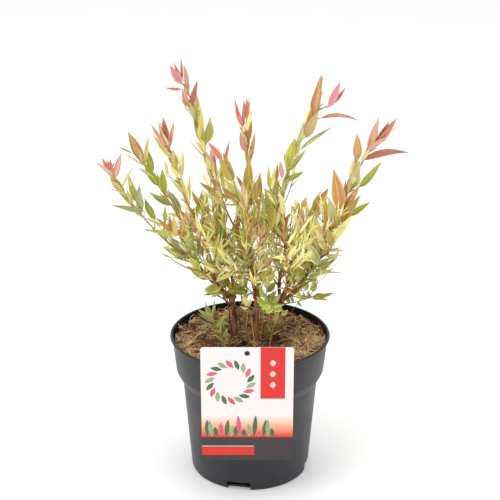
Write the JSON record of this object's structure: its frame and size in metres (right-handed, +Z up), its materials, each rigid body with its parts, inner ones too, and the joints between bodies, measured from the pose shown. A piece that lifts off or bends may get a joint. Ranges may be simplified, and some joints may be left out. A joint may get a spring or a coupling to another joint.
{
  "type": "potted dappled willow shrub",
  "caption": "Young potted dappled willow: woody stems fork into slender upright shoots with narrow pale, green and coral leaves, in a round dark pot with a label card.",
  "frame": {"origin": "middle of the pot's flat underside, on the surface it stands on", "axes": "+Z up, -Y towards the side that carries the label card, +X to the right of a viewer who faces the card"},
  "size_m": [0.3573, 0.249, 0.5024],
  "materials": {
    "pot_plastic": "satin black-grey moulded plastic",
    "clip_plastic": "black moulded plastic",
    "card": "glossy printed card",
    "compost": "moist peat compost",
    "coir": "loose brown fibres",
    "bark": "thin reddish-brown bark",
    "leaves": "soft matte leaves, green, cream and coral"
  },
  "bodies": {
    "root": {"pot": "pot_plastic", "compost": "compost", "coir": "coir", "label_card": "card", "label_clip": "clip_plastic", "stem_left": "bark", "stem_centre": "bark", "stem_right": "bark", "bough_left_outer": "bark", "bough_left_upright": "bark", "bough_left_back": "bark", "bough_left_front": "bark", "bough_centre_upright": "bark", "bough_centre_front": "bark", "bough_centre_back": "bark", "bough_right_upright": "bark", "bough_right_outer": "bark", "bough_right_front": "bark", "bough_right_back": "bark", "foliage_left_far": "leaves", "foliage_left_high": "leaves", "foliage_left_top": "leaves", "foliage_left_middle": "leaves", "foliage_left_inner": "leaves", "foliage_back_left": "leaves", "foliage_back_far_left": "leaves", "foliage_front_left": "leaves", "foliage_low_left": "leaves", "foliage_centre_left": "leaves", "foliage_centre_top": "leaves", "foliage_centre_inner": "leaves", "foliage_centre_front": "leaves", "foliage_low_front": "leaves", "foliage_back_centre": "leaves", "foliage_back_middle": "leaves", "foliage_right_top": "leaves", "foliage_right_inner": "leaves", "foliage_right_middle": "leaves", "foliage_right_far": "leaves", "foliage_right_low": "leaves", "foliage_front_right": "leaves", "foliage_front_far_right": "leaves", "foliage_back_low": "leaves", "foliage_back_right": "leaves", "foliage_soil_left": "leaves", "foliage_soil_centre": "leaves"}
  },
  "joints": []
}
